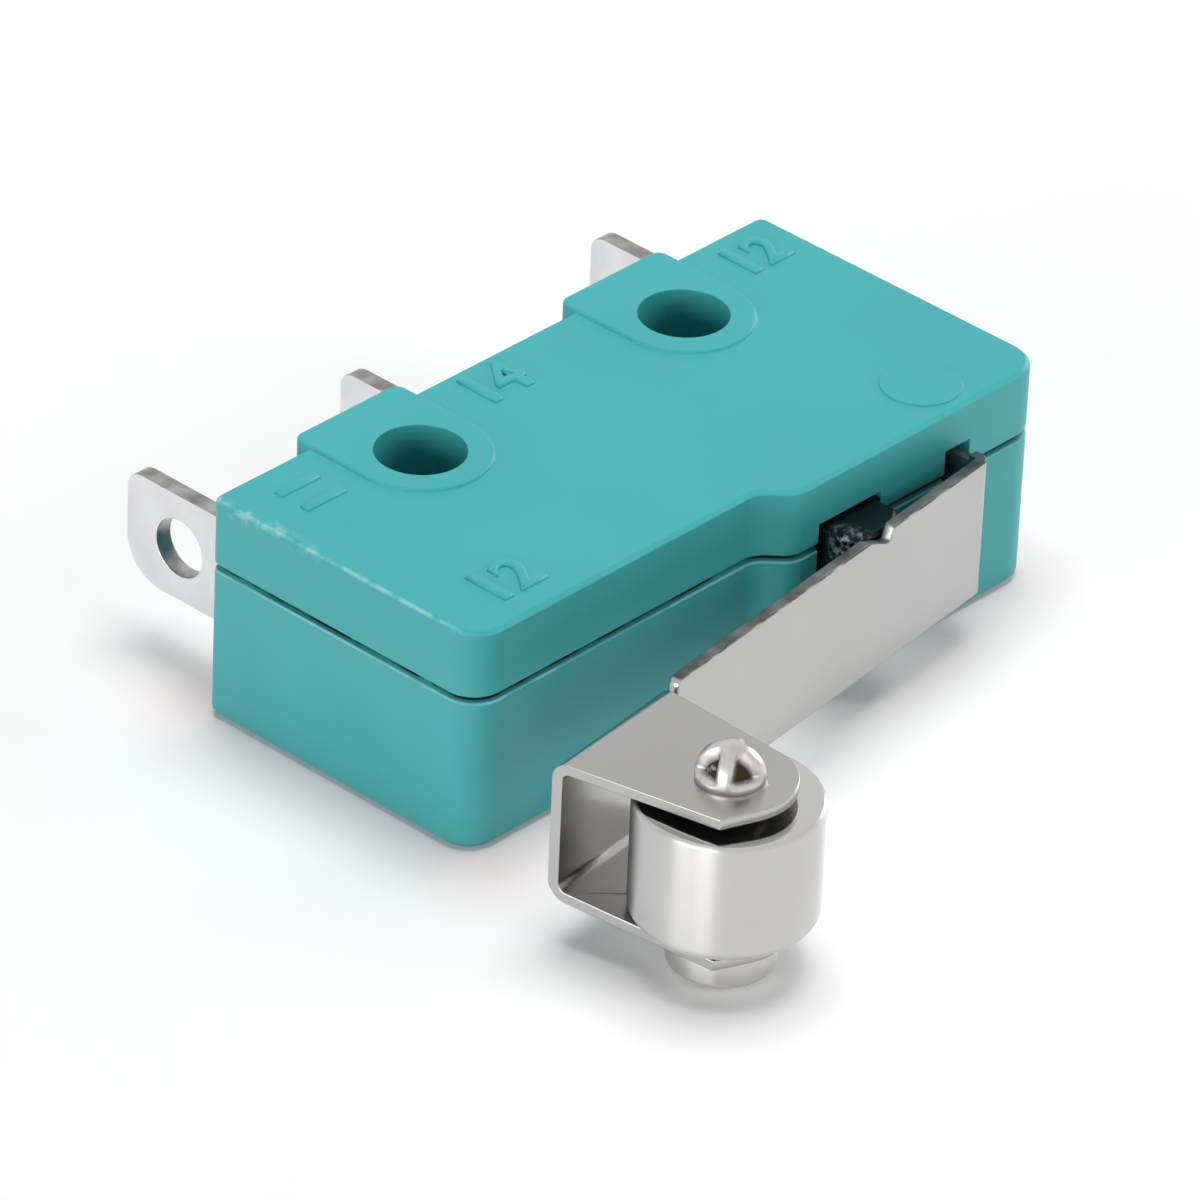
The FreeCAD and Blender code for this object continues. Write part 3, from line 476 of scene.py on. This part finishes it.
half = roller["half"]
bm = turnedPiece(roller["centre"], [(roller["bore"], -half), (roller["radius"], -half), (roller["radius"], half),
                                    (roller["bore"], half)], True, roller["steps"])
roundRims(bm, roller["centre"], roller["radius"], (-half,), roller["lowRim"])
roundRims(bm, roller["centre"], roller["radius"], (half,), roller["topRim"])
roundRims(bm, roller["centre"], roller["bore"], (-half, half), roller["boreRim"])
for face in bm.faces:
    face.normal_update()
    if abs(face.normal.z) > levelNormal:
        face.material_index = 1
rollerPiece = addPiece("turnedRoller", bm, rollerSteel, "roller", "roller")
rollerPiece.data.materials.append(facedSteel)
print("roller done")

rivetBox = [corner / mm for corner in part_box("roller_rivet")]
rivet = {
    "pin": 0.75,
    "head": 1.36,
    "headHeight": 1.0,
    "headLowRim": (0.2, 8),  # width and segments
    "headTopRim": (0.2 / 3, 4),
    "stake": 0.86,
    "stakeHeight": 0.9,
    "proud": 0.06,  # height of the dome above the solid's, before it is pressed
    "collar": 0.14,
    "domeRows": 30,
    "crossTurn": 29,
    "ridgeHalf": 0.12,  # half a ridge's width, then the slope beside it and the slope up from the collar
    "wall": 0.24,
    "foot": 0.22,
    "pressDepth": 0.3,
    "steps": 128,
}
rivetLow = rivetBox[0].z
headTop = rivetLow + rivet["headHeight"]
axis = Vector((roller["centre"].x, roller["centre"].y, 0))
earTop = rivetBox[1].z - rivet["stakeHeight"] + leverSheet["upperSplay"] * outFromWeb(axis.x, axis.y)[0]


def domeSpot(tilt):  # radius and height on the staked dome, from its collar up to its crown
    dome = rivet["stakeHeight"] + rivet["proud"] - rivet["collar"]
    return rivet["stake"] * math.cos(tilt), earTop + rivet["collar"] + dome * math.sin(tilt)


def ramp(value):  # eases from 0 to 1
    value = min(max(value, 0), 1)
    return value * value * (3 - 2 * value)


def pressHollows(bm):  # four punch marks that leave a raised cross between them
    pressed = bm.verts.layers.float.new(rivetStain["attribute"])
    foot = axis + Vector((0, 0, earTop))
    back = Matrix.Rotation(math.radians(-rivet["crossTurn"]), 3, "Z")
    for v in bm.verts:
        spot = v.co / mm - foot
        turned = back @ spot
        share = ramp((spot.z - rivet["collar"]) / rivet["foot"])
        for side in (turned.x, turned.y):
            share *= ramp((abs(side) - rivet["ridgeHalf"]) / rivet["wall"])
        v.co -= spot * (share * rivet["pressDepth"] * mm)
        v[pressed] = share


rows = rivet["domeRows"]
profile = [(0, rivetLow), (rivet["head"], rivetLow), (rivet["head"], headTop), (rivet["pin"], headTop),
           (rivet["pin"], earTop), (rivet["stake"], earTop)]
profile += [domeSpot(math.radians(90) * row / rows) for row in range(rows + 1)]
bm = turnedPiece(axis, profile, False, rivet["steps"])
roundRims(bm, axis, rivet["head"], (rivetLow,), rivet["headLowRim"])
roundRims(bm, axis, rivet["head"], (headTop,), rivet["headTopRim"])
pressHollows(bm)
for face in bm.faces:
    if face.calc_center_median().z < headTop * mm:
        face.material_index = 1
rivetPiece = addPiece("stakedRivet", bm, rivetSteel, "lever", "roller_rivet")
rivetPiece.data.materials.append(headSteel)
print("rivet done")

# Raised plain numbers on the cover, the usual ones for changeover contacts
numbers = {
    "rise": 0.012,
    "edge": 0.09,
    "edgeSteps": 3,
    "thinner": 0.028,  # share of the height that a stroke's sides draw in before the edge is added
    "capShare": 0.7,  # height of the font's digits in its size
    "padRise": 0.1,  # the cover's raised pads over its face
    "places": (("numberCommon", "11", -8.1, 0.55, 1.25, -90), ("numberOpen", "14", -1.1, 0.95, 1.3, 0),
               ("numberClosed", "12", 8.2, 0.75, 1.25, 0), ("numberFront", "12", -7.5, -5.5, 1.3, 0)),
}
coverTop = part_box("top_cover")[1][2] / mm - numbers["padRise"]
for name, words, x, y, height, turn in numbers["places"]:
    curve = bpy.data.curves.new(name, "FONT")
    curve.body = words
    curve.size = height / numbers["capShare"] * mm
    curve.align_x = "CENTER"
    curve.align_y = "CENTER"
    curve.offset = -numbers["thinner"] * mm * height
    curve.extrude = numbers["rise"] * mm
    curve.bevel_depth = numbers["edge"] * mm
    curve.bevel_resolution = numbers["edgeSteps"]
    drawn = bpy.data.objects.new(name + "Curve", curve)
    bpy.context.scene.collection.objects.link(drawn)
    bpy.context.view_layer.update()
    mesh = bpy.data.meshes.new_from_object(drawn.evaluated_get(bpy.context.evaluated_depsgraph_get()))
    bpy.data.objects.remove(drawn)
    mesh.transform(Matrix.Translation(Vector((x, y, coverTop)) * mm) @ Matrix.Rotation(math.radians(turn), 4, "Z"))
    bm = bmesh.new()
    bm.from_mesh(mesh)
    bpy.data.meshes.remove(mesh)
    bmesh.ops.remove_doubles(bm, verts=bm.verts, dist=weld)
    addPiece(name, bm, coverPbt, "case")
print("numbers done")

# Materials for the CAD nodes that stay as they are
inner = {
    "normally_open_contact": contactSilver,
    "normally_closed_contact": contactSilver,
    "moving_contact": contactSilver,
    "contact_arm": springCopper,
    "spring_bracket": springCopper,
    "bracket_rivet": tinnedBrass,
    "tension_spring": springWire,
}
for node, material in inner.items():
    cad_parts[node].data.materials.clear()
    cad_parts[node].data.materials.append(material)

# Floor, light and camera
floorLook = {
    "size": 3.0,
    "colour": "#F5F5F5",
    "counterBounceColour": "#F5E8E8",  # painted a little warmer close to the case, to cancel the teal light that its walls bounce onto the floor
    "nearMm": 2.6,
    "glow": 0.09,
}
bm = bmesh.new()
bmesh.ops.create_grid(bm, x_segments=2, y_segments=2, size=floorLook["size"] / 2)
mesh = bpy.data.meshes.new("studioFloor")
bm.to_mesh(mesh)
bm.free()
floor = bpy.data.objects.new("studioFloor", mesh)
bpy.context.scene.collection.objects.link(floor)
material, tree = emptyMaterial("paleFloorPaper")
caseLow, caseHigh = [Vector(corner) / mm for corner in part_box("base_case")]
fromCase = addNode(tree, "ShaderNodeVectorMath", {"operation": "SUBTRACT", 1: (caseLow + caseHigh) / 2},
                   {0: placeInMm(tree)})
sides = addNode(tree, "ShaderNodeVectorMath", {"operation": "ABSOLUTE"}, {0: fromCase})
past = addNode(tree, "ShaderNodeVectorMath", {"operation": "SUBTRACT", 1: (caseHigh - caseLow) / 2}, {0: sides})
outside = addNode(tree, "ShaderNodeVectorMath", {"operation": "MAXIMUM", 1: (0, 0, 0)}, {0: past})
away = addNode(tree, "ShaderNodeVectorMath", {"operation": "LENGTH"}, {0: outside}).outputs["Value"]
near = addNode(tree, "ShaderNodeMapRange", {"From Min": floorLook["nearMm"], "From Max": 0.0}, {"Value": away})
tint = addNode(tree, "ShaderNodeMix",
               {"data_type": "RGBA", 6: linear(floorLook["colour"]), 7: linear(floorLook["counterBounceColour"])},
               {0: near}).outputs[2]
paper = addNode(tree, "ShaderNodeBsdfDiffuse", links={"Color": tint})
glow = addNode(tree, "ShaderNodeEmission", {"Strength": floorLook["glow"]})
rays = addNode(tree, "ShaderNodeLightPath")
seen = addNode(tree, "ShaderNodeMath", {"operation": "MAXIMUM"},
               {0: rays.outputs["Is Camera Ray"], 1: rays.outputs["Is Glossy Ray"]})
nothing = addNode(tree, "ShaderNodeEmission", {"Strength": 0.0})
shown = addNode(tree, "ShaderNodeMixShader", links={0: seen, 1: nothing, 2: glow})
both = addNode(tree, "ShaderNodeAddShader", links={0: paper, 1: shown})
addNode(tree, "ShaderNodeOutputMaterial", links={"Surface": both})
mesh.materials.append(material)

skyLook = {"fill": 0.04, "mirrored": 0.82}
world = bpy.data.worlds.new("studioWorld")
bpy.context.scene.world = world
world.use_nodes = True
tree = world.node_tree
tree.nodes.clear()
rays = addNode(tree, "ShaderNodeLightPath")
inView = addNode(tree, "ShaderNodeMapRange", {"To Min": skyLook["fill"], "To Max": 1.0},
                 {"Value": rays.outputs["Is Camera Ray"]})
strength = addNode(tree, "ShaderNodeMix", {3: skyLook["mirrored"]}, {0: rays.outputs["Is Glossy Ray"], 2: inView})
sky = addNode(tree, "ShaderNodeBackground", {"Color": (1, 1, 1, 1)}, {"Strength": strength})
addNode(tree, "ShaderNodeOutputWorld", links={"Surface": sky})

lamps = {  # the two with no glare would only burn out the flat metal that mirrors them
    "overhead": {"at": (0.07, 0.04, 0.6), "size": 0.4, "watts": 3.15, "glare": False},
    "left": {"at": (-0.6, 0.05, 0.13), "size": 0.24, "watts": 0.78, "glare": True},
    "right": {"at": (0.6, 0.0, 0.13), "size": 0.24, "watts": 0.75, "glare": True},
    "front": {"at": (-0.56, -0.2, 0.12), "size": 0.22, "watts": 0.82, "glare": True},
    "frontRight": {"at": (0.3, -0.5, 0.25), "size": 0.28, "watts": 1.08, "glare": False},
}
for name, lamp in lamps.items():
    data = bpy.data.lights.new(name + "Softbox", "AREA")
    data.shape = "SQUARE"
    data.size = lamp["size"]
    data.energy = lamp["watts"]
    light = bpy.data.objects.new(name + "Softbox", data)
    light.location = lamp["at"]
    light.rotation_euler = (-Vector(lamp["at"])).to_track_quat("-Z", "Y").to_euler()
    light.visible_glossy = lamp["glare"]
    bpy.context.scene.collection.objects.link(light)

shot = {
    "at": (-168.01, -152.92, 144.55),  # mm
    "azimuth": 48.043,
    "down": 32.466,
    "roll": 2.529,
    "lens": 321.24,
    "sensor": 36,
    "clip": (0.01, 10),  # metres
}
heading = math.radians(shot["azimuth"])
dip = math.radians(shot["down"])
ahead = Vector((math.cos(dip) * math.sin(heading), math.cos(dip) * math.cos(heading), -math.sin(dip)))
level = Vector((math.cos(heading), -math.sin(heading), 0))
upright = level.cross(ahead)
roll = math.radians(shot["roll"])
right = level * math.cos(roll) + upright * math.sin(roll)
up = upright * math.cos(roll) - level * math.sin(roll)
data = bpy.data.cameras.new("photoCamera")
data.lens = shot["lens"]
data.sensor_width = shot["sensor"]
data.clip_start, data.clip_end = shot["clip"]
camera = bpy.data.objects.new("photoCamera", data)
turn = Matrix((right, up, -ahead)).transposed().to_4x4()
camera.matrix_world = Matrix.Translation(Vector(shot["at"]) * mm) @ turn
bpy.context.scene.collection.objects.link(camera)
bpy.context.scene.camera = camera
bpy.context.scene.view_settings.view_transform = "Standard"
print("studio done")
